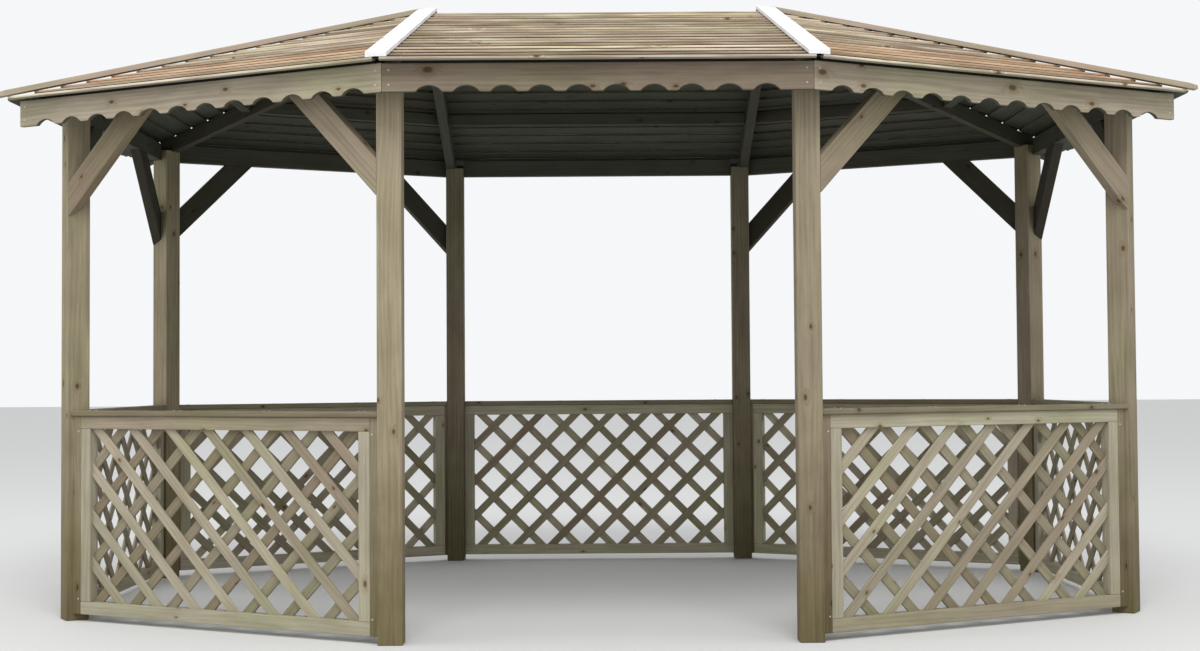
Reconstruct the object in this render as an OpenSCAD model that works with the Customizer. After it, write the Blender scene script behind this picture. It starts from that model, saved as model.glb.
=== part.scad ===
// Garden gazebo: an open octagonal timber frame, stretched in the middle, on eight posts.
// Seven bays are closed to waist height by lattice panels and the front bay is the entrance.
// Plan: X along the ridge, -Y to the entrance, Z up, origin on the ground at the middle.
// Every bay is drawn in its own coordinates: x along the bay, -y outwards, z up.

/* [Plan] */
// Width of the entrance bay and of the bay behind it, between post centres
bay_w = 1500; // [1200:10:2000]
// Width of each end bay, between post centres
end_bay_w = 1440; // [1200:10:2000]
// Run of a corner bay along the ridge, between post centres
corner_x = 1345; // [1000:5:1700]
// Run of a corner bay across the ridge, between post centres
corner_y = 700; // [450:1:900]

/* [Posts and ring plates] */
// Side of the square posts
post_w = 90; // [70:1:120]
// Depth the hip rafters are let down over the posts
rafter_seat = 20; // [5:1:30]
// Drop from the drip edge to the ring plates' underside
plate_drop = 52; // [40:1:120]
// Depth of a ring plate
plate_h = 80; // [60:1:120]
// Thickness of a ring plate
plate_t = 45; // [35:1:60]

/* [Braces] */
// Depth of a brace
brace_h = 95; // [70:1:120]
// Thickness of a brace
brace_t = 45; // [35:1:60]
// Drop from the ring plate's underside to a brace's lowest corner
brace_drop = 415; // [250:5:550]

/* [Lattice panels] */
// Height of a panel's frame
panel_h = 780; // [600:5:1000]
// Height of a panel's bottom edge above the ground
panel_z = 28; // [15:1:80]
// Thickness of a panel's frame
panel_t = 45; // [30:1:60]
// Height of the rails and width of the stiles
frame_w = 50; // [40:1:70]
// Offset of a panel's outer face outside the line through the post centres
panel_out = 40; // [30:1:45]
// Width of a lath
lath_w = 38; // [25:1:50]
// Thickness of a lath
lath_t = 10; // [6:0.5:14]
// Level spacing of the laths, centre to centre
lath_pitch = 185; // [120:1:240]
// Thickness of a batten beside an angled post, at its thin edge
batten_in = 12; // [8:1:30]
// Width of the capping rail
cap_w = 70; // [55:1:90]
// Thickness of the capping rail
cap_t = 22; // [15:1:35]

/* [Roof] */
// Height of the drip edge, on top of the boards
eave_z = 2067; // [1950:1:2250]
// Rise of the boards from the drip edge to the ridge
roof_rise = 518; // [350:1:800]
// Overhang of the boards past the fascia
drip = 60; // [30:1:100]
// Thickness of the lapped roof boards
roof_t = 30; // [18:1:45]
// Width of the hip rafters, the ridge beam and the purlins
rafter_w = 45; // [35:1:60]
// Depth of a hip rafter
rafter_h = 70; // [50:1:110]
// Depth of the ridge beam
ridge_beam_h = 95; // [70:1:140]
// Side of the square crown block at each end of the ridge
crown_w = 110; // [95:1:150]
// Depth of a crown block
crown_h = 120; // [90:1:160]
// Depth of a purlin
purlin_h = 47; // [35:1:70]
// Place of the purlins down the slope, as a part of the way from ridge to drip edge
purlin_at = 0.57; // [0.4:0.01:0.7]
// Width of a hip cap
hip_cap_w = 76; // [60:1:100]
// Thickness of a hip cap
hip_cap_t = 14; // [10:1:25]
// Overhang of the end caps past the drip edge
cap_past = 25; // [0:1:60]
// Joint between the caps that meet over the ridge
cap_joint = 3; // [1:0.5:8]

/* [Fascia] */
// Overhang of the fascia line past the post centres, at the front and rear
fascia_out = 171; // [130:1:220]
// Overhang of the fascia line past the post centres, at both ends
end_out = 182; // [130:1:220]
// Spread of the front and rear fascias past the post centres, at each end
fascia_spread = 10; // [0:1:60]
// Overhang of the fascia's end corners past the end posts, towards the front or rear
fascia_corner = 107; // [60:1:160]
// Run of the corner fascias past the corners of the end bays
fascia_past = 11; // [0:1:30]
// Depth of the front fascia boards
fascia_h = 101; // [80:1:140]
// Thickness of the fascia
fascia_t = 20; // [15:1:30]
// Width of one scallop
scallop_w = 94; // [60:1:110]
// Depth of one scallop
scallop_h = 22; // [12:1:30]
// Spacing of the scallops, centre to centre
scallop_pitch = 132; // [115:1:170]
// Plain length left at each end of a fascia, at least
scallop_margin = 60; // [40:1:150]

/* [Hidden] */

new_wood = [0.76, 0.72, 0.62];
lath_wood = [0.70, 0.66, 0.55];
roof_wood = [0.66, 0.60, 0.47];
shade_wood = [0.45, 0.44, 0.38];
cap_wood = [0.85, 0.86, 0.85];
tall = 4000;      // beyond the roof, for cutting solids
wide = 8000;      // beyond the plan, for cutting solids
press = 0.5;      // how far each lath is pressed into the one it crosses
lath_seat = 12;   // how far the laths are let into the panel's frame

// Sides in the order of the posts: side i runs from post i to the next one
FRONT = 0;
FRONT_RIGHT = 1;
RIGHT = 2;
REAR_RIGHT = 3;
REAR = 4;
REAR_LEFT = 5;
LEFT = 6;
FRONT_LEFT = 7;
SIDES = 8;

end_x = bay_w / 2 + corner_x;
front_y = end_bay_w / 2 + corner_y;
ridge_w = bay_w;
ridge_z = eave_z + roof_rise;
plate_z = eave_z - plate_drop;

// The eight corners of a plan that is the same on both sides of both axes
function ring(near_x, near_y, far_x, far_y) = [
    [-near_x, -near_y], [near_x, -near_y], [far_x, -far_y], [far_x, far_y],
    [near_x, near_y], [-near_x, near_y], [-far_x, far_y], [-far_x, -far_y]
];
POSTS = ring(bay_w / 2, front_y, end_x, end_bay_w / 2);
FASCIA = ring(bay_w / 2 + fascia_spread, front_y + fascia_out,
              end_x + end_out, end_bay_w / 2 + fascia_corner);
DRIP = grown(FASCIA, drip);
BACK = grown(FASCIA, -fascia_t);

function next(i) = (i + 1) % SIDES;
function before(i) = (i + SIDES - 1) % SIDES;
function run(ring, i) = ring[next(i)] - ring[i];
function side_len(ring, i) = norm(run(ring, i));
function side_turn(ring, i) = atan2(run(ring, i)[1], run(ring, i)[0]);
function outward(ring, i) = [sin(side_turn(ring, i)), -cos(side_turn(ring, i))];

// A ring moved outwards by a distance: each corner is where two moved sides meet
function corner_shift(a, b, d) = (a + b) * d / (1 + a * b);
function grown(ring, d) = [
    for (i = [0 : SIDES - 1])
        ring[i] + corner_shift(outward(ring, before(i)), outward(ring, i), d)
];

// Ridge end that a corner's hip runs to, and the plan outline of one slope
function apex(i) = [sign(POSTS[i][0]) * ridge_w / 2, 0];
function slope_plan(i) = apex(i) == apex(next(i))
    ? [DRIP[i], DRIP[next(i)], apex(i)]
    : [DRIP[i], DRIP[next(i)], apex(next(i)), apex(i)];

// Level distance from the drip edge to the ridge, and the pitch of one slope
function slope_run(i) = (DRIP[i] - apex(i)) * outward(DRIP, i);
function pitch(i) = atan(roof_rise / slope_run(i));

// Hips run from the ends of the ridge to the corners of the drip edge
function toward(v) = v / norm(v);
function hip_run(i) = DRIP[i] - apex(i);
function hip_pitch(i) = atan(roof_rise / norm(hip_run(i)));

// The four middle posts stand square to the plan, the four end posts halfway between
// their two bays. face_turn is the angle between a bay and the post face it meets.
bay_turn = side_turn(POSTS, FRONT_RIGHT);
end_turn = (90 - bay_turn) / 2;
function is_end_post(i) = abs(POSTS[i][0]) > bay_w / 2;
function post_turn(i) =
    is_end_post(i) ? sign(POSTS[i][0]) * sign(POSTS[i][1]) * end_turn : 0;
// A post's top, a little above the underside of its hip rafter
function post_top(i) = ridge_z - (POSTS[i] - apex(i)) * toward(hip_run(i)) * tan(hip_pitch(i))
    - (roof_t + rafter_h) / cos(hip_pitch(i)) + rafter_seat;
function face_turn(bay, post) =
    (bay == FRONT || bay == REAR) ? 0 : is_end_post(post) ? end_turn : bay_turn;
function face_turn_start(i) = face_turn(i, i);
function face_turn_end(i) = face_turn(i, next(i));
// Distance from a post's centre, along the bay, to its face at an outward offset
function face_at(turn, out) = (post_w / 2 - out * sin(turn)) / cos(turn);

panel_in = panel_out - panel_t;
panel_top = panel_z + panel_h;
cap_out = panel_out - panel_t / 2 + cap_w / 2;
function batten(turn) = turn == 0 ? 0 : batten_in;
function panel_edge(turn) = face_at(turn, turn == 0 ? 0 : panel_in) + batten(turn);
function panel_x0(i) = panel_edge(face_turn_start(i)) - side_len(POSTS, i) / 2;
function panel_x1(i) = side_len(POSTS, i) / 2 - panel_edge(face_turn_end(i));

// Braces and ring plates stand flush with the posts' outer corners
function frame_out(i) = (i == FRONT || i == REAR) ? post_w / 2 : corner_out;
corner_out = post_w / 2 * (cos(bay_turn) + sin(bay_turn));

module at_bay(ring, i) {
    middle = (ring[i] + ring[next(i)]) / 2;
    translate([middle[0], middle[1], 0]) rotate([0, 0, side_turn(ring, i)]) children();
}

// ---- Posts, ring plates and braces ----

module post(i) {
    color(new_wood)
        translate([POSTS[i][0], POSTS[i][1], 0]) rotate([0, 0, post_turn(i)])
            translate([-post_w / 2, -post_w / 2, 0]) cube([post_w, post_w, post_top(i)]);
}

// Plan outline of a piece that runs from post face to post face
function between_posts(i, out, in) = [
    [face_at(face_turn_start(i), out) - side_len(POSTS, i) / 2, -out],
    [side_len(POSTS, i) / 2 - face_at(face_turn_end(i), out), -out],
    [side_len(POSTS, i) / 2 - face_at(face_turn_end(i), in), -in],
    [face_at(face_turn_start(i), in) - side_len(POSTS, i) / 2, -in]
];

// A plate's outer top edge is planed off to lie under the boards
module ring_plate(i) {
    intersection() {
        at_bay(POSTS, i) translate([0, 0, plate_z])
            linear_extrude(plate_h)
                polygon(between_posts(i, frame_out(i), frame_out(i) - plate_t));
        layer(i, roof_t, tall);
    }
}

module ring_plates() {
    color(new_wood) for (i = [0 : SIDES - 1]) ring_plate(i);
}

// A 45 degree brace from the post face at the start of a bay up to its ring plate
module brace(i, turn) {
    deep = brace_h * sqrt(2);
    out = frame_out(i);
    foot = face_at(turn, out);
    foot_in = face_at(turn, out - brace_t);
    translate([-side_len(POSTS, i) / 2, 0, 0])
        intersection() {
            translate([0, brace_t - out, 0]) rotate([90, 0, 0])
                linear_extrude(brace_t)
                    polygon([
                        [foot, plate_z - brace_drop],
                        [foot + brace_drop, plate_z],
                        [foot + brace_drop - deep, plate_z],
                        [foot, plate_z - brace_drop + deep]
                    ]);
            translate([0, 0, plate_z - brace_drop])
                linear_extrude(brace_drop)
                    polygon([
                        [foot, -out], [foot + brace_drop, -out],
                        [foot + brace_drop, brace_t - out], [foot_in, brace_t - out]
                    ]);
        }
}

module braces(i) {
    at_bay(POSTS, i) {
        brace(i, face_turn_start(i));
        mirror([1, 0, 0]) brace(i, face_turn_end(i));
    }
}

module braces_front() {
    color(new_wood) for (i = [FRONT_LEFT, FRONT_RIGHT]) braces(i);
}

module braces_ends() {
    color(new_wood) for (i = [LEFT, RIGHT]) braces(i);
}

module braces_rear() {
    color(new_wood) for (i = [REAR_LEFT, REAR_RIGHT]) braces(i);
}

// ---- Lattice panels, battens and capping rails ----

// One layer of laths at 45 degrees, over an area centred on the origin
module laths(w, h, lean) {
    count = ceil((w + h) / lath_pitch / 2);
    for (n = [-count : count - 1])
        translate([(n + 0.5) * lath_pitch, -press, 0]) rotate([0, 45 * lean, 0])
            translate([-lath_w / 2, 0, -h]) cube([lath_w, lath_t, 2 * h]);
}

module lattice(w, h, outer_lean) {
    intersection() {
        translate([-w / 2, -lath_t, -h / 2]) cube([w, 2 * lath_t, h]);
        union() {
            laths(w, h, -outer_lean);
            mirror([0, 1, 0]) laths(w, h, outer_lean);
        }
    }
}

// The outer laths of the panels on the left lean the other way
function outer_lean(i) = (i == REAR_LEFT || i == LEFT || i == FRONT_LEFT) ? -1 : 1;

module panel(i) {
    x0 = panel_x0(i);
    w = panel_x1(i) - x0;
    open_w = w - 2 * frame_w;
    open_h = panel_h - 2 * frame_w;
    color(lath_wood) at_bay(POSTS, i) translate([0, -panel_out, panel_z])
        union() {
            difference() {
                translate([x0, 0, 0]) cube([w, panel_t, panel_h]);
                translate([x0 + frame_w, -1, frame_w]) cube([open_w, panel_t + 2, open_h]);
            }
            translate([x0 + w / 2, panel_t / 2, panel_h / 2])
                lattice(open_w + 2 * lath_seat, open_h + 2 * lath_seat, outer_lean(i));
        }
}

// Wedge between an angled post face and the square edge of a panel
module panel_batten(i, turn) {
    translate([-side_len(POSTS, i) / 2, 0, panel_z])
        linear_extrude(panel_h)
            polygon([
                [face_at(turn, panel_out), -panel_out],
                [panel_edge(turn), -panel_out],
                [panel_edge(turn), -panel_in],
                [face_at(turn, panel_in), -panel_in]
            ]);
}

module panel_battens() {
    color(new_wood)
        for (i = [FRONT_RIGHT, RIGHT, REAR_RIGHT, REAR_LEFT, LEFT, FRONT_LEFT])
            at_bay(POSTS, i) {
                panel_batten(i, face_turn_start(i));
                mirror([1, 0, 0]) panel_batten(i, face_turn_end(i));
            }
}

module cap_rails() {
    color(new_wood)
        for (i = [FRONT_RIGHT : FRONT_LEFT])
            at_bay(POSTS, i) translate([0, 0, panel_top])
                linear_extrude(cap_t)
                    polygon(between_posts(i, cap_out, cap_out - cap_w));
}

// ---- Roof ----

// Endless layer between two depths under the top face of one slope
module layer(i, from, to) {
    middle = (DRIP[i] + DRIP[next(i)]) / 2;
    translate([middle[0], middle[1], eave_z])
        rotate([0, 0, side_turn(DRIP, i)]) rotate([pitch(i), 0, 0])
            translate([-wide / 2, -wide / 2, -to]) cube([wide, wide, to - from]);
}

// One slope's boards, cut plumb at the hips
module slope(i) {
    color(roof_wood) intersection() {
        linear_extrude(tall) polygon(slope_plan(i));
        layer(i, 0, roof_t);
    }
}

// Plan frame of one hip: x runs from the ridge end towards the corner
module at_hip(i) {
    translate([apex(i)[0], apex(i)[1], 0])
        rotate([0, 0, atan2(hip_run(i)[1], hip_run(i)[0])]) children();
}

// Bar along one hip, between two depths under the hip line. It starts a little way
// back from the ridge end and runs on past the corner.
module hip_bar(i, w, from, to, back = 0) {
    at_hip(i) translate([0, 0, ridge_z]) rotate([0, hip_pitch(i), 0])
        translate([-back, -w / 2, -to]) cube([wide / 2, w, to - from]);
}

module crown(x) {
    translate([x - crown_w / 2, -crown_w / 2, 0]) cube([crown_w, crown_w, tall]);
}

module hip_rafter(i) {
    difference() {
        intersection() {
            hip_bar(i, rafter_w, 0, rafter_h + roof_t);
            linear_extrude(tall) polygon(BACK);
            layer(before(i), roof_t, tall);
            layer(i, roof_t, tall);
        }
        crown(apex(i)[0]);
        post(i);
    }
}

module hip_rafters_left() {
    color(shade_wood) for (i = [0, 5, 6, 7]) hip_rafter(i);
}

module hip_rafters_right() {
    color(shade_wood) for (i = [1, 2, 3, 4]) hip_rafter(i);
}

under_ridge = ridge_z - roof_t / cos(pitch(FRONT)) - rafter_w / 2 * tan(pitch(FRONT));

module ridge_beam() {
    length = ridge_w - crown_w;
    color(shade_wood)
        translate([-length / 2, -rafter_w / 2, under_ridge - ridge_beam_h])
            cube([length, rafter_w, ridge_beam_h]);
}

// The crown blocks' flat tops stay under the corner slopes' boards
corner_out_dir = outward(DRIP, FRONT_RIGHT);
crown_top = ridge_z - roof_t / cos(pitch(FRONT_RIGHT))
    - crown_w / 2 * (corner_out_dir[0] - corner_out_dir[1]) * tan(pitch(FRONT_RIGHT));

module crown_blocks() {
    color(shade_wood) for (x = [-1, 1] * ridge_w / 2)
        translate([x - crown_w / 2, -crown_w / 2, crown_top - crown_h])
            cube([crown_w, crown_w, crown_h]);
}

// Bar under the boards of one slope, between its two hip rafters
module purlin(i) {
    middle = (DRIP[i] + DRIP[next(i)]) / 2;
    inwards = (1 - purlin_at) * slope_run(i);
    purlin_top = eave_z + inwards * tan(pitch(i)) - roof_t / cos(pitch(i));
    difference() {
        intersection() {
            translate([middle[0], middle[1], purlin_top - purlin_h])
                rotate([0, 0, side_turn(DRIP, i)])
                    translate([-wide / 2, inwards - rafter_w / 2, 0])
                        cube([wide, rafter_w, 2 * purlin_h]);
            linear_extrude(tall) polygon(slope_plan(i));
            layer(i, roof_t, tall);
        }
        hip_bar(i, rafter_w, -roof_t, tall);
        hip_bar(next(i), rafter_w, -roof_t, tall);
    }
}

module purlins() {
    color(shade_wood) for (i = [0 : SIDES - 1]) purlin(i);
}

// Plan area that belongs to one hip near the apex, halfway to each neighbouring hip
function pair(i) = is_end_post(i) == is_end_post(next(i)) ? before(i) : next(i);
function split(i) = toward(toward(hip_run(i)) + toward(hip_run(pair(i))));
function cap_area(i) = is_end_post(i)
    ? [apex(i), apex(i) + wide * split(i), apex(i) + wide * [sign(POSTS[i][0]), 0]]
    : [apex(i), apex(i) + wide * split(i), [0, sign(POSTS[i][1]) * wide], [0, 0]];

// Board along a hip, bevelled underneath to lie on both slopes
module hip_cap(i) {
    difference() {
        intersection() {
            hip_bar(i, hip_cap_w, -hip_cap_t, roof_t, hip_cap_w);
            linear_extrude(tall) polygon(grown(DRIP, is_end_post(i) ? cap_past : 0));
            linear_extrude(tall) polygon(cap_area(i));
        }
        intersection() {
            layer(before(i), 0, tall);
            layer(i, 0, tall);
        }
        translate([-wide / 2, -cap_joint / 2, 0]) cube([wide, cap_joint, tall]);
    }
}

module hip_caps_middle() {
    color(cap_wood) for (i = [0, 1, 4, 5]) hip_cap(i);
}

module hip_caps_ends() {
    color(cap_wood) for (i = [2, 3, 6, 7]) hip_cap(i);
}

// ---- Fascia boards on the three front sides ----

// Height of the boards' underside above the fascia's outer face; the lower edges are level
function fascia_top(i) = eave_z + drip * tan(pitch(i)) - roof_t / cos(pitch(i));
fascia_z = fascia_top(FRONT) - fascia_h;

scallop_r = (pow(scallop_w / 2, 2) + pow(scallop_h, 2)) / (2 * scallop_h);

module scallops(length) {
    count = floor((length - 2 * scallop_margin - scallop_w) / scallop_pitch) + 1;
    for (n = [0 : count - 1])
        translate([(n - (count - 1) / 2) * scallop_pitch, 0, scallop_h - scallop_r])
            rotate([90, 0, 0]) cylinder(r = scallop_r, h = 4 * fascia_t, center = true, $fn = 64);
}

// Ends of a board's outer and inner face: mitred at the entrance, square at the far ends
function fascia_end(i, corner, way) =
    let (square = FASCIA[corner] + way * fascia_past * toward(run(FASCIA, i)))
    is_end_post(corner) ? [square, square - fascia_t * outward(FASCIA, i)]
                        : [FASCIA[corner], BACK[corner]];

module fascia(i) {
    top = fascia_top(i);
    start = fascia_end(i, i, -1);
    end = fascia_end(i, next(i), 1);
    color(new_wood) difference() {
        translate([0, 0, fascia_z]) linear_extrude(top - fascia_z)
            polygon([start[0], end[0], end[1], start[1]]);
        translate([0, 0, fascia_z]) at_bay(FASCIA, i) scallops(side_len(FASCIA, i));
    }
}

post(0);  // post_front_left
post(1);  // post_front_right
post(2);  // post_right_front
post(3);  // post_right_rear
post(4);  // post_rear_right
post(5);  // post_rear_left
post(6);  // post_left_rear
post(7);  // post_left_front
ring_plates();
braces_front();
braces_ends();
braces_rear();
panel(FRONT_LEFT);  // panel_front_left
panel(FRONT_RIGHT);  // panel_front_right
panel(RIGHT);  // panel_right
panel(REAR_RIGHT);  // panel_rear_right
panel(REAR);  // panel_rear
panel(REAR_LEFT);  // panel_rear_left
panel(LEFT);  // panel_left
panel_battens();
cap_rails();
fascia(FRONT);  // fascia_front
fascia(FRONT_RIGHT);  // fascia_front_right
fascia(FRONT_LEFT);  // fascia_front_left
hip_rafters_left();
hip_rafters_right();
ridge_beam();
crown_blocks();
purlins();
slope(FRONT);  // slope_front
slope(FRONT_RIGHT);  // slope_front_right
slope(RIGHT);  // slope_right
slope(REAR_RIGHT);  // slope_rear_right
slope(REAR);  // slope_rear
slope(REAR_LEFT);  // slope_rear_left
slope(LEFT);  // slope_left
slope(FRONT_LEFT);  // slope_front_left
hip_caps_middle();
hip_caps_ends();
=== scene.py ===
# %% [markdown]
# # A garden gazebo in timber
# The gazebo is an open octagon, stretched in the middle. Eight square posts carry a ring of plates
# and a shallow hipped roof of lapped boards. Seven bays have a lattice panel up to the waist.
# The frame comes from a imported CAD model, and it sets every place and size. This script gives each
# piece the rounded arrises, boards, laths and wood that make it look like timber.

# %% Load the frame
import math
import random

import bmesh
import bpy
from mathutils import Matrix, Vector
from mathutils.bvhtree import BVHTree


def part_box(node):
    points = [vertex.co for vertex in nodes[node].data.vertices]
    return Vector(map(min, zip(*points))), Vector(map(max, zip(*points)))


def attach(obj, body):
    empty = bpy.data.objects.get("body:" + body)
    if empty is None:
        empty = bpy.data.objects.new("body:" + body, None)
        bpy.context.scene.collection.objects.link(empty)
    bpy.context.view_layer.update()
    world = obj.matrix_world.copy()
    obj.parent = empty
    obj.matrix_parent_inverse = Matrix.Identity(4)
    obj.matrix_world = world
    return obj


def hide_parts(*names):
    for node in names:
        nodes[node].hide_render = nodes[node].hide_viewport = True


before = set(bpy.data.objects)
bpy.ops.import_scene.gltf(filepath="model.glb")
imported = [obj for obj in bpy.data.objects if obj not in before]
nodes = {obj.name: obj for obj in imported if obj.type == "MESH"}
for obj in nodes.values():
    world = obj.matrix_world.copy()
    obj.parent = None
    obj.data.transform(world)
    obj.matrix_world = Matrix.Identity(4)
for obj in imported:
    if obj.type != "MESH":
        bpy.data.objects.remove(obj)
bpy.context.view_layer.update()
chance = random.Random(7)
print("nodes in the frame:", len(nodes))

# %% [markdown]
# ## Numbers that vary over a surface
# Wood is sums of noises. In the editor that is a web of Math nodes, which is hard to read in a
# script. A small class that wraps a socket lets the sums be written as plain Python, and each sum
# adds its own node.

# %% Sums on sockets
class Amount:
    """A number that varies over a surface."""

    def __init__(self, finish, socket):
        self.finish = finish
        self.socket = socket

    def sum(self, operation, *values):
        return self.finish.add("Math", {"operation": operation}, dict(enumerate(values)))

    def __add__(self, other):
        return self.sum("ADD", self, other)

    def __sub__(self, other):
        return self.sum("SUBTRACT", self, other)

    def __rsub__(self, other):
        return self.sum("SUBTRACT", other, self)

    def __mul__(self, other):
        return self.sum("MULTIPLY", self, other)

    __radd__ = __add__
    __rmul__ = __mul__


# %% [markdown]
# Every other node comes from one method. Settings go in before the sockets, because a setting such
# as a node's operation changes which sockets there are.

# %% One way to add a node
class Finish:
    """One procedural material."""

    def __init__(self, name):
        self.material = bpy.data.materials.new(name)
        self.material.use_nodes = True
        self.tree = self.material.node_tree
        self.shader = self.tree.nodes["Principled BSDF"]

    def add(self, kind, settings, inputs, output=0):
        node = self.tree.nodes.new("ShaderNode" + kind)
        for name, value in settings.items():
            setattr(node, name, value)
        for key, value in inputs.items():
            self.feed(node.inputs[key], value)
        return Amount(self, node.outputs[output])

    def feed(self, socket, value):
        if isinstance(value, Amount):
            self.tree.links.new(value.socket, socket)
        else:
            socket.default_value = value

    def between(self, value, low, high):
        """0 under low, 1 over high and a smooth rise from one to the other."""
        return self.add(
            "MapRange",
            {"interpolation_type": "SMOOTHSTEP"},
            {"Value": value, "From Min": low, "From Max": high},
        )

    def blend(self, factor, a, b, kind="MIX"):
        """Colour a where factor is 0 and b where it is 1."""
        return self.add(
            "Mix", {"data_type": "RGBA", "blend_type": kind}, {0: factor, 6: a, 7: b}, output=2
        )

    def wave(self, value):
        """Bands between 0 and 1."""
        return self.add("Math", {"operation": "SINE"}, {0: value}) * 0.5 + 0.5

    def axis(self, vector, number):
        """One of the three numbers of a vector."""
        return self.add("SeparateXYZ", {}, {0: vector}, output=number)

    def clouds(self, vector, scale, detail):
        """Noise that is as fine in every direction."""
        return self.add("TexNoise", {}, {"Vector": vector, "Scale": scale, "Detail": detail})

    def noise(self, grain, along, across, detail=2.0):
        """Noise with one fineness along the grain and another across it."""
        drawn_out = {0: grain, 1: (along, across, across)}
        drawn_out = self.add("VectorMath", {"operation": "MULTIPLY"}, drawn_out)
        return self.clouds(drawn_out, 1.0, detail)


# %% [markdown]
# ## The wood
# Treated softwood shows four things: broad bands of early and late wood, fine fibres, small dark
# knots that push the bands aside, and a drift of tint from greenish to pinkish that follows how
# the salts took. The grain has to run along each board whichever way the board lies, so every
# piece carries two attributes: "grain" is a place measured along, across and through its own
# board, and "tone" is one brightness a board, random on most pieces, and given on posts and fascia
# boards to paint the light and shade on them. Tint and weather read Object coordinates, because
# they follow the whole building. The sums are split over four functions, and the noises are given
# in waves a metre, so a larger number is a finer pattern.

# %% Knots
KNOTS_ALONG, KNOTS_ACROSS = 8.0, 14.0
KNOT_CORE = (0.05, 0.12)
KNOT_EDGE = (0.1, 0.32)


def knots_of(wood, grain, share, size):
    """The dark core and the wide halo of knots, in a share of the cells of a flat pattern."""
    round_the_board = wood.axis(grain, 1) + wood.axis(grain, 2) * 0.8
    spot = wood.add("CombineXYZ", {}, {0: wood.axis(grain, 0) * KNOTS_ALONG,
                                       1: round_the_board * KNOTS_ACROSS})
    flat = {"voronoi_dimensions": "2D"}
    cells = {"Vector": spot, "Scale": 1.0 / size, "Randomness": 0.9}
    draw = wood.add("TexVoronoi", flat, cells, output=1)
    picked = wood.between(wood.add("SeparateColor", {}, {0: draw}), 1.0 - share, 1.01 - share)
    smaller = wood.add("SeparateColor", {}, {0: draw}, output=1) * 0.9 + 0.8
    away = wood.add("TexVoronoi", flat, cells, output=0) * smaller
    return [(1.0 - wood.between(away, *reach)) * picked for reach in (KNOT_CORE, KNOT_EDGE)]


# %% Bands and fibres
RINGS_ACROSS, RINGS_THROUGH = 330.0, 240.0
RINGS_BEND, RINGS_ROUND_KNOT = 30.0, 7.0


def bands_of(wood, grain, halo, figure):
    """Early and late wood, which bends round the knots, and the fine fibres in it."""
    bend = wood.noise(grain, 1.1, 9.0)
    across, through = wood.axis(grain, 1) * RINGS_ACROSS, wood.axis(grain, 2) * RINGS_THROUGH
    rings = wood.wave(across + through + bend * RINGS_BEND + halo * RINGS_ROUND_KNOT)
    streak = wood.noise(grain, 2.4, 110.0, detail=4.0)
    stain = wood.noise(grain, 5.0, 16.0, detail=3.0)
    fibre = wood.noise(grain, 14.0, 520.0)
    return rings * figure + streak * 0.5 + stain * 0.55 + fibre * 0.35 - 0.24, fibre


# %% Tint and weather
GREEN_CAST = (0.86, 1.0, 0.74, 1)
PINK_CAST = (1.0, 0.86, 0.80, 1)
DAMP = (0.50, 0.47, 0.34, 1)
BRIGHT = 1.1


def tinted(wood, colour, place, green, spread):
    """A drift from green to pink, and one brightness a board."""
    tone = wood.add("Attribute", {"attribute_name": "tone"}, {}, output=2)
    drift = wood.between(wood.clouds(place, 2.1, 3.0), 0.35, 0.7)
    colour = wood.blend(drift * green, colour, GREEN_CAST, "MULTIPLY")
    pink = wood.between(tone, 0.55, 1.0) * (1.0 - wood.between(tone, 1.0, 1.1)) * 0.55
    colour = wood.blend(pink, colour, PINK_CAST, "MULTIPLY")
    # On posts and fascia boards the tone is given to paint the light and shade on them, so this
    # brightness is painted light there.
    shade = wood.add("CombineColor", {}, dict.fromkeys(range(3), BRIGHT - tone * spread))
    return wood.blend(1.0, colour, shade, "MULTIPLY")


def damp_at_the_foot(wood, colour, place, weather):
    """Darker towards the ground, with a ragged edge where rain splashes up."""
    ragged = wood.axis(place, 2) + wood.clouds(place, 9.0, 4.0) * 0.5
    damp = (1.0 - wood.between(ragged, 0.2, 1.3)) * weather
    return wood.blend(damp, colour, DAMP, "MULTIPLY")


# %% The timber finish
KNOT_HALO = (0.72, 0.58, 0.42, 1)
KNOT_BROWN = (0.22, 0.14, 0.09, 1)
ROUGH, ROUGHER = 0.72, 0.16
SHEEN_OF_WOOD = 0.25
RELIEF, RELIEF_DEPTH = 0.35, 0.0012


def timber(name, pale, dark, green=0.5, knots=0.15, figure=0.12, spread=0.22, weather=0.0,
           knot_size=1.0):
    """Softwood between a pale and a dark colour."""
    wood = Finish(name)
    grain = wood.add("Attribute", {"attribute_name": "grain"}, {}, output=1)
    place = wood.add("TexCoord", {}, {}, output=3)
    core, halo = knots_of(wood, grain, knots, knot_size)
    band, fibre = bands_of(wood, grain, halo, figure)
    colour = wood.blend(wood.between(band, 0.0, 1.0), pale, dark)
    colour = tinted(wood, colour, place, green, spread)
    colour = wood.blend(halo * 0.4, colour, KNOT_HALO, "MULTIPLY")
    colour = wood.blend(core * 0.8, colour, KNOT_BROWN, "MULTIPLY")
    if weather:
        colour = damp_at_the_foot(wood, colour, place, weather)
    wood.feed(wood.shader.inputs["Base Color"], colour)
    wood.feed(wood.shader.inputs["Roughness"], ROUGH + band * ROUGHER)
    wood.shader.inputs["Specular IOR Level"].default_value = SHEEN_OF_WOOD
    height = band * 0.7 + fibre * 0.5 - core * 0.3
    relief = {"Height": height, "Strength": RELIEF, "Distance": RELIEF_DEPTH}
    wood.feed(wood.shader.inputs["Normal"], wood.add("Bump", {}, relief))
    return wood.material
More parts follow.
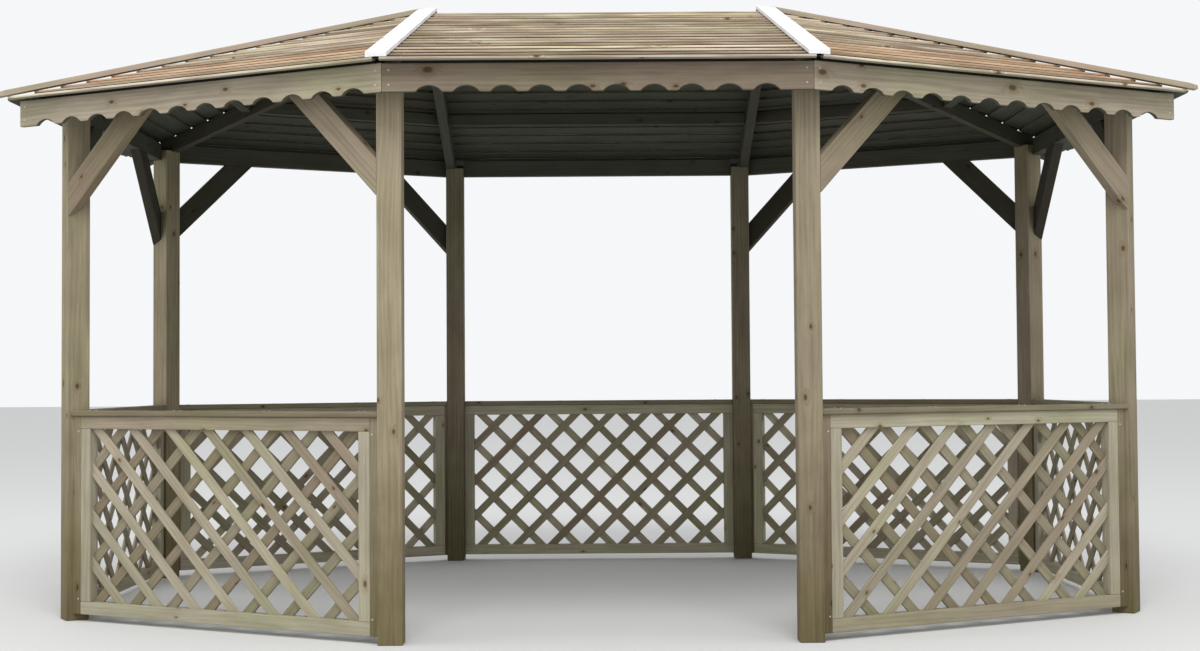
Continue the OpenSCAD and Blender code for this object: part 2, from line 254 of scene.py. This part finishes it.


# %% [markdown]
# The same wood looks different by its place. Posts and rails are greenish straw, and roof boards
# are pale on top. Where shade falls the finishes are painted dark: sawn frame pieces in the shade
# are dark grey, the braces at the ends and rear and the inner laths are darker, roof boards are
# dark olive underneath, and what never sees the sky, such as a scallop's soffit, has its own dark
# finish. The boards on the middle hips are pale wood painted nearly white, as a painted reflection
# of the bright sky. A few boards near the eaves are newer and tan. So part of the darkness under
# the roof is painted shade in these finishes and not in the light.

# %% The finishes of this gazebo
POST = timber("post_timber", (0.385, 0.322, 0.226, 1), (0.18, 0.146, 0.092, 1), green=0.4,
              knots=0.22, spread=0.4, weather=0.95)
FASCIA = timber("fascia_timber", (0.45, 0.39, 0.30, 1), (0.22, 0.182, 0.13, 1), knots=0.5,
                spread=0.5, knot_size=1.4)
BRACE = timber("brace_timber", (0.33, 0.27, 0.195, 1), (0.17, 0.135, 0.094, 1))
# Painted shade: the braces at the ends and rear are the same timber as the front ones, made nearly
# black for the shade they stand in.
SHADED_BRACE = timber("inner_brace_painted_shade", (0.06, 0.056, 0.042, 1), (0.034, 0.031, 0.022, 1))
LATTICE = timber("lattice_timber", (0.44, 0.39, 0.30, 1), (0.23, 0.192, 0.135, 1), spread=0.35)
# Painted shade: the inner layer of laths is the same timber as the outer layer, made darker for the
# shade it lies in.
SHADED_INNER_LATH = timber("inner_lath_painted_shade", (0.30, 0.265, 0.19, 1), (0.16, 0.135, 0.088, 1))
PANEL = timber("panel_frame_timber", (0.41, 0.375, 0.285, 1), (0.22, 0.19, 0.135, 1))
RAIL = timber("rail_timber", (0.26, 0.235, 0.165, 1), (0.15, 0.125, 0.08, 1))
# Painted shade: the plates and the roof's frame are sawn timber made dark grey for the shade under
# the roof.
SHADE = timber("frame_timber", (0.08, 0.079, 0.06, 1), (0.044, 0.042, 0.030, 1))
ROOF = timber("roof_boards", (0.90, 0.80, 0.66, 1), (0.37, 0.285, 0.20, 1), green=0.35,
              knots=0.08, figure=0.3, spread=0.5)
ROOF_NEWER = timber("newer_roof_boards", (0.88, 0.69, 0.51, 1), (0.42, 0.285, 0.185, 1),
                    green=0.1, knots=0.08, figure=0.3, spread=0.4)
# Painted shade: the undersides of the roof boards are the same timber made dark olive for the shade
# under the roof. The first course's underside at the eaves is a lighter painted shade, as more light
# reaches it from outside.
UNDERSIDE_PAINTED_SHADE = timber("roof_underside_painted_shade", (0.080, 0.082, 0.062, 1), (0.038, 0.038, 0.028, 1))
# Painted shade: the scallops' soffits and the fascia's edges and back, dark for the shade they are
# in.
SOFFIT_PAINTED_SHADE = timber("scallop_soffits_painted_shade", (0.10, 0.098, 0.068, 1), (0.06, 0.056, 0.038, 1))
EAVE_PAINTED_SOFT_SHADE = timber("eave_underside_painted_soft_shade", (0.30, 0.275, 0.22, 1), (0.16, 0.14, 0.105, 1))
# Painted reflection: the middle hip boards are pale wood made nearly white, for the glare of the
# bright sky on them.
CAP_PAINTED_GLARE = timber("cap_boards", (0.72, 0.73, 0.745, 1), (0.60, 0.605, 0.615, 1), green=0.0, knots=0.03)
END_CAP = timber("end_cap_boards", (0.52, 0.465, 0.40, 1), (0.33, 0.28, 0.23, 1))
print("finishes:", len(bpy.data.materials))


# %% [markdown]
# ## A place along, across and through every board
# A piece can hold several boards, each its own island of faces. The longest edge of an island
# runs along the grain, and its broadest side face tells which way is through. Each island also
# gets a random shift, so that no two boards show the same knots.

# %% Find the boards of a piece
def islands(mesh):
    """The loose parts of a bmesh, each a list of its corners."""
    left = set(mesh.verts)
    parts = []
    for first in mesh.verts:
        if first not in left:
            continue
        left.discard(first)
        part, edge_of_part = [first], [first]
        while edge_of_part:
            for edge in edge_of_part.pop().link_edges:
                for corner in edge.verts:
                    if corner in left:
                        left.discard(corner)
                        part.append(corner)
                        edge_of_part.append(corner)
        parts.append(part)
    return parts


class Board:
    """The directions and size of one board, from its corners."""

    def __init__(self, part):
        edges = {edge for corner in part for edge in corner.link_edges}
        faces = {face for corner in part for face in corner.link_faces}
        longest = max(edges, key=lambda edge: (round(edge.calc_length(), 5), edge.index))
        self.along = (longest.verts[1].co - longest.verts[0].co).normalized()
        sides = [face for face in faces if abs(face.normal @ self.along) < 0.3] or list(faces)
        broadest = max(sides, key=lambda face: (round(face.calc_area(), 6), face.index))
        self.through = broadest.normal.copy()
        self.across = self.along.cross(self.through).normalized()
        self.middle, self.half = Vector(), []
        for axis in (self.along, self.across, self.through):
            reach = [corner.co @ axis for corner in part]
            self.middle += axis * (min(reach) + max(reach)) / 2
            self.half.append((max(reach) - min(reach)) / 2)

    def measured(self, place):
        away = place - self.middle
        return Vector((away @ self.along, away @ self.across, away @ self.through))


def mark_grain(mesh, tone_low=0.0, tone_high=1.0):
    """Writes the grain and tone attributes of every board."""
    grain = mesh.verts.layers.float_vector.new("grain")
    tone = mesh.verts.layers.float.new("tone")
    for part in islands(mesh):
        board = Board(part)
        shift = Vector((chance.uniform(0, 40), chance.uniform(0, 9), chance.uniform(0, 9)))
        shade = chance.uniform(tone_low, tone_high)
        for corner in part:
            corner[grain] = board.measured(corner.co) + shift
            corner[tone] = shade


# %% [markdown]
# ## From a bmesh to a piece
# A finished bmesh becomes an object that sits at the origin, so that its place is in its mesh. It
# rides on the one body of this gazebo, and the CAD node it stands for is hidden.

# %% Make a piece
def piece(name, mesh, materials, stands_for=()):
    data = bpy.data.meshes.new(name)
    mesh.to_mesh(data)
    mesh.free()
    made = bpy.data.objects.new(name, data)
    bpy.context.scene.collection.objects.link(made)
    for material in materials:
        data.materials.append(material)
    if stands_for:
        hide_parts(*stands_for)
    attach(made, "root")
    return made


# %% [markdown]
# ## Planed timbers
# Posts, plates, braces, rails, rafters and battens are plain timbers. Their CAD shapes are right
# but have knife-sharp arrises, which no planed timber has, and which never catch the light. A
# copy of the CAD mesh is merged, its flat triangles are joined up again, and its arrises are
# rounded by 2 to 5 mm. Bevelling a copy was chosen over modelling afresh, because every
# mitre and notch is then the CAD model's own.

# %% Round the arrises of a copy
MERGE = 2e-5
FLAT, SHARP = math.radians(1), math.radians(25)


def merged_copy(node):
    """A CAD node as a bmesh of whole flat faces."""
    mesh = bmesh.new()
    mesh.from_mesh(nodes[node].data)
    bmesh.ops.remove_doubles(mesh, verts=mesh.verts[:], dist=MERGE)
    bmesh.ops.dissolve_limit(mesh, angle_limit=FLAT, verts=mesh.verts[:], edges=mesh.edges[:])
    return mesh


def round_arrises(mesh, radius, segments=2):
    sharp = [e for e in mesh.edges if len(e.link_faces) == 2 and e.calc_face_angle() > SHARP]
    bmesh.ops.bevel(
        mesh, geom=sharp, offset=radius, offset_type="OFFSET", affect="EDGES",
        segments=segments, profile=0.5, material=-1, clamp_overlap=True,
    )


# %% [markdown]
# Two things are not in the CAD timbers. The boards on the end hips stand up a little at their far
# ends, so they are sprung before they are rounded. And the fascia's front is in the light while
# its edges and back are not, so those faces take a darker finish, which is painted shade.

# %% Spring a board, and find its back
OUTWARD = 0.4


def spring_up(mesh, lift):
    """Raises the corners by more the further they are from the middle of the gazebo."""
    near, far = (pick(abs(corner.co.x) for corner in mesh.verts) for pick in (min, max))
    for corner in mesh.verts:
        corner.co.z += lift * (abs(corner.co.x) - near) / (far - near)


def facing_side(board, side):
    """The direction that a board's broad face looks in, on the side given."""
    return board.through if board.through @ side > 0 else -board.through


def outwards(board):
    """The direction from the middle of the plan to a board."""
    return Vector((board.middle.x, board.middle.y, 0))


def mark_backs(mesh):
    """Gives the second material, a painted shade, to faces that don't look outwards."""
    for part in islands(mesh):
        board = Board(part)
        facing = facing_side(board, outwards(board))
        for face in {face for corner in part for face in corner.link_faces}:
            face.material_index = 0 if face.normal @ facing > OUTWARD else 1


def planed(node, material, radius=0.003, tones=(0.0, 1.0), lift=0.0, backs=None):
    """The CAD node with rounded arrises and wood, perhaps sprung or with other backs."""
    mesh = merged_copy(node)
    if lift:
        spring_up(mesh, lift)
    round_arrises(mesh, radius)
    mesh.normal_update()
    mark_grain(mesh, *tones)
    if backs:
        mark_backs(mesh)
    faces = len(mesh.faces)
    piece("planed_" + node, mesh, [material, backs] if backs else [material], [node])
    return faces


# %% [markdown]
# The tone of a post is given one by one, within a narrow range, and paints the light and shade on
# it: three posts on the left are painted paler than the rest, for the light from the left, the
# three on the right a little darker, and the two beside the rear bay darker still, as painted
# shade from the roof. The three fascia boards are set in the same way below.

# %% Posts, plates, braces, rails and battens
# Painted light and shade: pale tones for the posts on the left, darker ones for the right posts and
# darkest for the two beside the rear bay.
RIGHT_POSTS_PAINTED_SHADE = (0.5, 0.54)
POST_TONES_PAINTED_LIGHT = {"post_front_left": (0.15, 0.2), "post_left_front": (0.3, 0.35),
              "post_rear_left": (1.15, 1.2), "post_rear_right": (1.15, 1.2),
              "post_left_rear": (0.2, 0.25)}
total = sum(planed(node, POST, 0.004, POST_TONES_PAINTED_LIGHT.get(node, RIGHT_POSTS_PAINTED_SHADE))
            for node in sorted(nodes) if node.startswith("post_"))
total += planed("panel_battens", POST, 0.002)
total += planed("ring_plates", SHADE)
total += planed("braces_front", BRACE)
total += planed("braces_ends", SHADED_BRACE)
total += planed("braces_rear", SHADED_BRACE)
total += planed("cap_rails", RAIL, 0.005)
print("faces on the planed timbers:", total)

# %% [markdown]
# The roof's frame is rougher and hidden in shade: hip rafters, the ridge beam, two crown blocks
# and the purlins. The fascia is a planed board with a scalloped lower edge, and the boards on
# the hips are planed too.

# %% Roof frame, fascia and hip boards
# Painted light and shade: the front board is given a dark tone, which also gives it a browner cast,
# and the two side boards pale ones, as the light falls on each.
FASCIA_TONES_PAINTED_LIGHT = {"fascia_front": (0.92, 0.96), "fascia_front_left": (0.02, 0.08),
                "fascia_front_right": (0.12, 0.16)}
SPRING = 0.007
total = sum(planed(node, SHADE, 0.002) for node in (
    "hip_rafters_left", "hip_rafters_right", "ridge_beam", "crown_blocks", "purlins"))
total += sum(planed(node, FASCIA, tones=tones, backs=SOFFIT_PAINTED_SHADE)
             for node, tones in FASCIA_TONES_PAINTED_LIGHT.items())
total += planed("hip_caps_middle", CAP_PAINTED_GLARE, tones=(0.0, 0.2))
total += planed("hip_caps_ends", END_CAP, tones=(0.3, 1.0), lift=SPRING)
print("faces on the roof's timbers:", total)

# %% [markdown]
# ## Sawing a board
# Roof boards and laths are new pieces. Each starts as a cube, which is stretched to a board, and
# is then sawn off by planes. Bisecting opens the board, so the cut is closed with one face.

# %% Start, saw and join boards
ON_PLANE = 1e-6


def blank(length, width, thickness):
    """A board centred on the origin, along X."""
    mesh = bmesh.new()
    bmesh.ops.create_cube(mesh, size=1.0, matrix=Matrix.Diagonal((length, width, thickness, 1)))
    return mesh


def saw(mesh, point, waste):
    """Takes off what lies beyond the point, on the side that waste points to."""
    everything = mesh.verts[:] + mesh.edges[:] + mesh.faces[:]
    cut = bmesh.ops.bisect_plane(
        mesh, geom=everything, dist=ON_PLANE, plane_co=point, plane_no=waste, clear_outer=True
    )["geom_cut"]
    rim = [part for part in cut if isinstance(part, bmesh.types.BMEdge)]
    if len(rim) > 2:
        bmesh.ops.edgeloop_fill(mesh, edges=rim)


def lay(stack, mesh, radius, segments=1):
    """Rounds a sawn board and adds it to the stack."""
    if mesh.faces:
        bmesh.ops.recalc_face_normals(mesh, faces=mesh.faces[:])
        round_arrises(mesh, radius, segments)
        data = bpy.data.meshes.new("board")
        mesh.to_mesh(data)
        stack.from_mesh(data)
        bpy.data.meshes.remove(data)
    mesh.free()


# %% [markdown]
# ## Lattice panels
# A panel is a frame of four planed bars round two layers of laths, which cross at 45 degrees and
# are let into the frame. The CAD panel is one fused solid, which is right for collision, but real
# laths are separate, and each has its own colour. So the bars and laths are made one by one, in
# the panel's own plane, and turned into place together.

# %% Where each panel stands
ORDER = ["front_left", "front_right", "right_front", "right_rear",
         "rear_right", "rear_left", "left_rear", "left_front"]
post_at = []
for post in ORDER:
    low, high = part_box("post_" + post)
    post_at.append(Vector(((low.x + high.x) / 2, (low.y + high.y) / 2, 0)))

BAYS = {"front_right": 1, "right": 2, "rear_right": 3, "rear": 4,
        "rear_left": 5, "left": 6, "front_left": 7}
# The outer laths lean one way on these panels and the other way on the rest
LEANS_LEFT = ("rear_left", "left", "front_left")


def bay_frame(bay):
    """Turns bay coordinates (along, inwards, up) into places."""
    start, end = post_at[bay], post_at[(bay + 1) % len(post_at)]
    along = (end - start).normalized()
    inwards = Vector((-along.y, along.x, 0))
    turn = Matrix((along, inwards, (0, 0, 1))).transposed().to_4x4()
    return Matrix.Translation((start + end) / 2) @ turn


print("bay widths:", [round((post_at[i] - post_at[i - 1]).length, 3) for i in range(8)])

# %% Size of the bars and laths
BAR, BAR_ROUND = 0.050, 0.003
LATH_W, LATH_T, LATH_ROUND = 0.038, 0.0095, 0.0015
LATH_PITCH = 0.185
LAYER_GAP = 0.0003
LET_IN = 0.010
OUTER_LATH, FRAME_BAR, SHADED_LATH_SIDE = 0, 1, 2
QUARTER_X = Matrix.Rotation(math.radians(90), 4, "X")
QUARTER_Y = Matrix.Rotation(math.radians(90), 4, "Y")


def finish_with(mesh, number):
    """Every face of the mesh takes the material in this place of the piece's list."""
    for face in mesh.faces:
        face.material_index = number


# %% Lay the bars
def lay_bars(stack, size):
    """Two rails and two stiles between them, round a panel of this size."""
    for end in (-1, 1):
        rail = blank(size.x, size.y, BAR)
        bmesh.ops.translate(rail, verts=rail.verts, vec=(0, 0, end * (size.z - BAR) / 2))
        stile = blank(size.z - 2 * BAR, size.y, BAR)
        upright = Matrix.Translation((end * (size.x - BAR) / 2, 0, 0)) @ QUARTER_Y
        bmesh.ops.transform(stile, matrix=upright, verts=stile.verts)
        for bar in (rail, stile):
            finish_with(bar, FRAME_BAR)
            lay(stack, bar, BAR_ROUND, 2)


# %% Lay the laths
def lay_laths(stack, size, outer):
    """Two layers of laths at 45 degrees, sawn off where they end inside the bars."""
    half_w, half_h = size.x / 2 - BAR + LET_IN, size.z / 2 - BAR + LET_IN
    edges = (((1, 0, 0), half_w), ((-1, 0, 0), half_w), ((0, 0, 1), half_h), ((0, 0, -1), half_h))
    count = math.ceil((half_w + half_h) * 2 / LATH_PITCH / 2)
    for layer in (-1, 1):
        lean = Matrix.Rotation(math.radians(90 + layer * outer * 45), 4, "Y")
        inwards = layer * (LATH_T + LAYER_GAP) / 2
        for n in range(-count, count):
            lath = blank(4 * half_h, LATH_W, LATH_T)
            shift = Matrix.Translation(((n + 0.5) * LATH_PITCH, inwards, 0))
            bmesh.ops.transform(lath, matrix=shift @ lean @ QUARTER_X, verts=lath.verts)
            finish_with(lath, OUTER_LATH if layer < 0 else SHADED_LATH_SIDE)
            for way, reach in edges:
                if lath.faces:
                    saw(lath, Vector(way) * reach, way)
            lay(stack, lath, LATH_ROUND)


# %% [markdown]
# The battens beside a panel are screwed to the posts, near the top and the bottom. They are wedges,
# so the place of a screw on them isn't on any box. A ray from outside finds it.

# %% Find the screws' places, and build the panels
BATTEN_X, SCREW_IN = 0.011, 0.06
RAY_START, RAY_LENGTH = -0.3, 0.5
screw_spots = []
battens = BVHTree.FromBMesh(merged_copy("panel_battens"))


def find_screws(seat, size):
    inwards = seat.to_3x3() @ Vector((0, 1, 0))
    for end in (-1, 1):
        for high_up in (-1, 1):
            spot = Vector((BATTEN_X * end, RAY_START, (size.z / 2 - SCREW_IN) * high_up))
            spot.x += size.x / 2 * end
            place, facing = battens.ray_cast(seat @ spot, inwards, RAY_LENGTH)[:2]
            if place:
                screw_spots.append((place, facing))


def panel(side, bay):
    """The lattice panel of one bay, which is made about the origin and turned into place."""
    node = "panel_" + side
    place = bay_frame(bay)
    flat = [place.inverted() @ corner.co for corner in nodes[node].data.vertices]
    low = Vector([min(corner[axis] for corner in flat) for axis in range(3)])
    high = Vector([max(corner[axis] for corner in flat) for axis in range(3)])
    size = high - low
    stack = bmesh.new()
    lay_bars(stack, size)
    lay_laths(stack, size, 1 if side in LEANS_LEFT else -1)
    seat = place @ Matrix.Translation((low + high) / 2)
    find_screws(seat, size)
    bmesh.ops.transform(stack, matrix=seat, verts=stack.verts)
    stack.normal_update()
    mark_grain(stack)
    faces = len(stack.faces)
    piece("laths_" + side, stack, [LATTICE, PANEL, SHADED_INNER_LATH], [node])
    return faces


print("faces a panel:", {side: panel(side, bay) for side, bay in BAYS.items()})

# %% [markdown]
# ## Lapped roof boards
# Each slope has 18 courses, so that the courses meet at the hips. A board is a feather edge: its
# butt is thick and lies over the thin upper edge of the course below. From the garden the butts
# read as bands with a dark line under each, which is the shadow in a chamfer under the butt,
# deepened by painted shade on the chamfer, and from inside the laps show again. The boards are
# made flat, one a course, tilted by their lap, laid on the slope and sawn plumb along both hips.

# %% Read one slope from the frame
LOOKS_UP = 0.5


def slope_frame(node):
    """The place of the drip edge and ridge, from the node's top face."""
    tops = set()
    for face in nodes[node].data.polygons:
        if face.normal.z > LOOKS_UP:
            for index in face.vertices:
                co = nodes[node].data.vertices[index].co
                tops.add((round(co.z, 4), round(co.x, 4), round(co.y, 4)))
            normal = face.normal.copy()
    corners = [Vector((x, y, z)) for z, x, y in sorted(tops)]
    start, end = corners[0], corners[1]
    along = (end - start).normalized()
    if along.cross(normal).z > 0:
        start, end, along = end, start, -along
    up = normal.cross(along).normalized()
    tips = sorted(corners[2:], key=lambda corner: (corner - start) @ along)
    return start, end, tips[0], tips[-1], along, up, normal


for node in sorted(nodes):
    if node.startswith("slope_"):
        start, end, left_tip, right_tip, along, up, normal = slope_frame(node)
        print(node, "drip", round((end - start).length, 3), "rafter",
              round((left_tip - start) @ up, 3))

# %% [markdown]
# The boards stop a little short of each hip, and the left end hip at the front was cut wider, so
# the sky shows there under the sprung board. Some boards in the lower courses look newer and tan.

# %% One board of a course
COURSES = 18
BUTT = 0.0145
LAP = 0.018
BED = 0.0285
CLEAR_TOP, CLEAR_BED = 0.0003, 0.0015
CHAMFER, BOARD_ROUND = 0.007, 0.0022
SPARE = 0.2


def feather_edge(length, show):
    """A board that is thick at its butt and thin where the next course covers it."""
    board = blank(length, show + LAP, BUTT)
    upper = [corner for corner in board.verts if corner.co.y > 0]
    tops = [corner for corner in upper if corner.co.z > 0]
    beds = [corner for corner in upper if corner.co.z < 0]
    drop = -BUTT * (show + LAP) / show - CLEAR_TOP
    bmesh.ops.translate(board, verts=tops, vec=(0, 0, drop))
    bmesh.ops.translate(board, verts=beds, vec=(0, 0, BUTT - BED + CLEAR_BED))
    drip = [edge for edge in board.edges
            if all(corner.co.y < 0 and corner.co.z < 0 for corner in edge.verts)]
    bmesh.ops.bevel(board, geom=drip, offset=CHAMFER, affect="EDGES", segments=2,
                    profile=0.5, material=-1)
    return board


# %% Cuts along the hips
GAP = 0.012
WIDE_GAPS = {("slope_left", 1): 0.034, ("slope_front_left", -1): 0.014}


def hip_cuts(node, start, end, left_tip, right_tip, along):
    """A point and an outward direction for the saw, on the left and right hip of a slope."""
    cuts = []
    for foot, tip, way in ((start, left_tip, -1), (end, right_tip, 1)):
        out = (tip - foot).cross(Vector((0, 0, 1))).normalized()
        out = out if out @ along * way > 0 else -out
        cuts.append((foot - out * WIDE_GAPS.get((node, way), GAP), out))
    return cuts


# %% Colours of the courses
# The shaded finish and the one at the eaves are painted shade, the one at the eaves softer.
TOP, SHADED, SOFT_SHADE_AT_EAVES, RENEWED = 0, 1, 2, 3
NEWER = {"slope_front_right": (1, 2, 3, 4), "slope_front_left": (2, 3, 4)}
LOOKS_DOWN, BUTT_END = -0.45, -0.6
AT_THE_EAVES = 0.6


def colour_courses(mesh, node, start, up, show):
    """Tops and butts are pale or newer, and the rest, the chamfer under each butt too, takes a
    painted shade, softer at the eaves.
    """
    for face in mesh.faces:
        butt = face.normal @ up < BUTT_END and face.normal.z > LOOKS_DOWN
        course = (face.calc_center_median() - start) @ up / show
        if face.normal.z > LOOKS_UP or butt:
            face.material_index = RENEWED if int(course) in NEWER.get(node, ()) else TOP
        else:
            face.material_index = SOFT_SHADE_AT_EAVES if course < AT_THE_EAVES else SHADED


# %% [markdown]
# Hand-laid boards are never quite level, so each course sits up to about a millimetre low and
# moves a little up or down the slope. A nail holds each end of a board.

# %% Lay the courses
UNEVEN, WANDER = 0.0012, 0.0015
NAIL_UP, NAIL_IN, NAIL_SUNK = 0.032, 0.085, 0.0008
nail_spots = []


def find_nails(start, end, left_tip, right_tip, along, up, normal):
    rise = (left_tip - start) @ up
    show = rise / COURSES
    sunk = BUTT * NAIL_UP / show + NAIL_SUNK
    for course in range(COURSES):
        height = course * show + NAIL_UP
        first = (left_tip - start) @ along * height / rise + NAIL_IN
        last = (end - start).length - (end - right_tip) @ along * height / rise - NAIL_IN
        if last > first:
            for reach in sorted({round(first, 4), round(last, 4)}):
                nail_spots.append((start + along * reach + up * height - normal * sunk, normal))


def roof_boards(node):
    start, end, left_tip, right_tip, along, up, normal = slope_frame(node)
    length, show = (end - start).length, (left_tip - start) @ up / COURSES
    cuts = hip_cuts(node, start, end, left_tip, right_tip, along)
    ridge_out = Vector((0, -1 if start.y > 0 else 1, 0))
    slope = Matrix.Translation(start) @ Matrix((along, up, normal)).transposed().to_4x4()
    stack = bmesh.new()
    for course in range(COURSES):
        board = feather_edge(length + SPARE, show)
        low = BUTT / 2 + chance.uniform(0, UNEVEN)
        height = (show + LAP) / 2 + course * show
        height += chance.uniform(-WANDER, WANDER) if course else 0
        lie = slope @ Matrix.Translation((length / 2, height, -low))
        bmesh.ops.transform(board, matrix=lie, verts=board.verts)
        for point, out in cuts:
            if board.faces:
                saw(board, point, out)
        if board.faces and left_tip != right_tip:
            saw(board, left_tip, ridge_out)
        lay(stack, board, BOARD_ROUND, 2)
    stack.normal_update()
    mark_grain(stack)
    colour_courses(stack, node, start, up, show)
    faces = len(stack.faces)
    piece("boards_" + node, stack, [ROOF, UNDERSIDE_PAINTED_SHADE, EAVE_PAINTED_SOFT_SHADE, ROOF_NEWER], [node])
    find_nails(start, end, left_tip, right_tip, along, up, normal)
    return faces


print("faces a slope:", {node: roof_boards(node) for node in sorted(nodes)
                         if node.startswith("slope_")})

# %% [markdown]
# ## Nails and screws
# The roof boards are nailed to the hip rafters. The hip boards, the fascia and the rails are
# screwed down in pairs, and the panels' battens are screwed to the posts. A head is a low cone
# with a cut-off top, pressed a little into the wood. There are hundreds, so each has few faces,
# and they are joined in two meshes. The places are measured on the frame's own boards.

# %% Places on the frame's boards
def boards_of(node):
    """The boards of a CAD node, measured."""
    mesh = merged_copy(node)
    mesh.normal_update()
    found = [Board(part) for part in islands(mesh)]
    mesh.free()
    return found


def pairs(board, side, places, apart):
    """Two heads beside each other at each place along a board, on the face towards side."""
    facing = facing_side(board, side)
    surface = board.middle + facing * board.half[2]
    return [(surface + board.along * place + board.across * gap, facing)
            for place in places for gap in (-apart, apart)]


def spread_along(board, inset, spacing):
    """Places from end to end of a board, about as far apart as spacing."""
    reach = board.half[0] - inset
    count = max(1, round(2 * reach / spacing))
    return [reach * (2 * n / count - 1) for n in range(count + 1)]


UPWARDS = Vector((0, 0, 1))
for node in FASCIA_TONES_PAINTED_LIGHT:
    for board in boards_of(node):
        screw_spots += pairs(board, outwards(board), spread_along(board, 0.025, 2.0), 0.026)
for node in ("hip_caps_middle", "hip_caps_ends"):
    for board in boards_of(node):
        screw_spots += pairs(board, UPWARDS, spread_along(board, 0.14, 0.3), 0.024)
for board in boards_of("cap_rails"):
    screw_spots += pairs(board, UPWARDS, spread_along(board, 0.09, 0.4), 0.018)
print("nails:", len(nail_spots), "screws:", len(screw_spots))

# %% Galvanised steel
DULL_ZINC, BRIGHT_ZINC = (0.34, 0.335, 0.32, 1), (0.62, 0.615, 0.60, 1)
STEEL = Finish("galvanised_steel")
patina = STEEL.clouds(STEEL.add("TexCoord", {}, {}, output=3), 90.0, 2.0)
STEEL.feed(STEEL.shader.inputs["Base Color"], STEEL.blend(patina, DULL_ZINC, BRIGHT_ZINC))
STEEL.feed(STEEL.shader.inputs["Roughness"], patina * 0.3 + 0.35)
STEEL.shader.inputs["Metallic"].default_value = 0.5

# %% Make the heads
HEAD_SIDES, HEAD_TAPER, HEAD_PROUD = 10, 0.72, 0.1


def heads(name, spots, radius, height):
    """A head at each place, as one piece."""
    stack = bmesh.new()
    for point, facing in spots:
        turn = facing.to_track_quat("Z", "Y").to_matrix().to_4x4()
        bmesh.ops.create_cone(
            stack, cap_ends=True, segments=HEAD_SIDES, radius1=radius,
            radius2=radius * HEAD_TAPER, depth=height,
            matrix=Matrix.Translation(point + facing * height * HEAD_PROUD) @ turn,
        )
    faces = len(stack.faces)
    piece(name, stack, [STEEL.material])
    return faces


print("faces on the nails:", heads("roof_nails", nail_spots, 0.0035, 0.0022),
      "and screws:", heads("screw_heads", screw_spots, 0.0042, 0.0024))

# %% [markdown]
# ## Floor, light and camera
# The light is an overcast sky: a bright even world, one large soft light high in front and a weak
# one from each side, the left one stronger. The floor is plain and pale. The camera is below a
# standing person's eyes, in front of the entrance, and looks up a little.

# %% Floor
FLOOR_REACH = 60
floor_mesh = bmesh.new()
bmesh.ops.create_grid(floor_mesh, x_segments=1, y_segments=1, size=FLOOR_REACH)
floor_data = bpy.data.meshes.new("floor")
floor_mesh.to_mesh(floor_data)
floor_mesh.free()
floor = bpy.data.objects.new("floor", floor_data)
bpy.context.scene.collection.objects.link(floor)
paving = Finish("pale_floor")
paving.shader.inputs["Base Color"].default_value = (0.62, 0.62, 0.61, 1)
paving.shader.inputs["Roughness"].default_value = 0.9
floor_data.materials.append(paving.material)
print("floor:", 2 * FLOOR_REACH, "m square")

# %% Light
world = bpy.data.worlds.new("overcast")
bpy.context.scene.world = world
world.use_nodes = True
sky = world.node_tree.nodes["Background"]
sky.inputs["Color"].default_value = (0.97, 0.98, 1.0, 1)
sky.inputs["Strength"].default_value = 0.95


def soft_light(name, place, size, power):
    """A round soft light that is aimed at the middle of the gazebo."""
    light = bpy.data.lights.new(name, "AREA")
    light.shape = "DISK"
    light.size = size
    light.energy = power
    lamp = bpy.data.objects.new(name, light)
    lamp.location = place
    lamp.rotation_euler = (AIM - Vector(place)).to_track_quat("-Z", "Y").to_euler()
    bpy.context.scene.collection.objects.link(lamp)


AIM = Vector((0, 0, 1))
soft_light("high_front", (0.5, -9, 12), size=7, power=1120)
soft_light("left_fill", (-10, -4, 5), size=6, power=170)
soft_light("right_fill", (10, -4, 5), size=6, power=60)
print("lights:", [light.name for light in bpy.data.lights])

# %% Camera
YAW, PITCH, ROLL = 0.0025, 0.0318, -0.0067
camera = bpy.data.cameras.new("camera")
camera.lens = 51.0
camera.sensor_width = 36.0
camera.clip_end = 200
viewer = bpy.data.objects.new("camera", camera)
viewer.location = (-0.013, -7.527, 0.939)
viewer.rotation_euler = (
    Matrix.Rotation(-YAW, 3, "Z") @ Matrix.Rotation(math.pi / 2 + PITCH, 3, "X")
    @ Matrix.Rotation(ROLL, 3, "Z")
).to_euler()
bpy.context.scene.collection.objects.link(viewer)
bpy.context.scene.camera = viewer
bpy.context.scene.view_settings.view_transform = "Standard"
print("camera at", tuple(round(n, 3) for n in viewer.location))
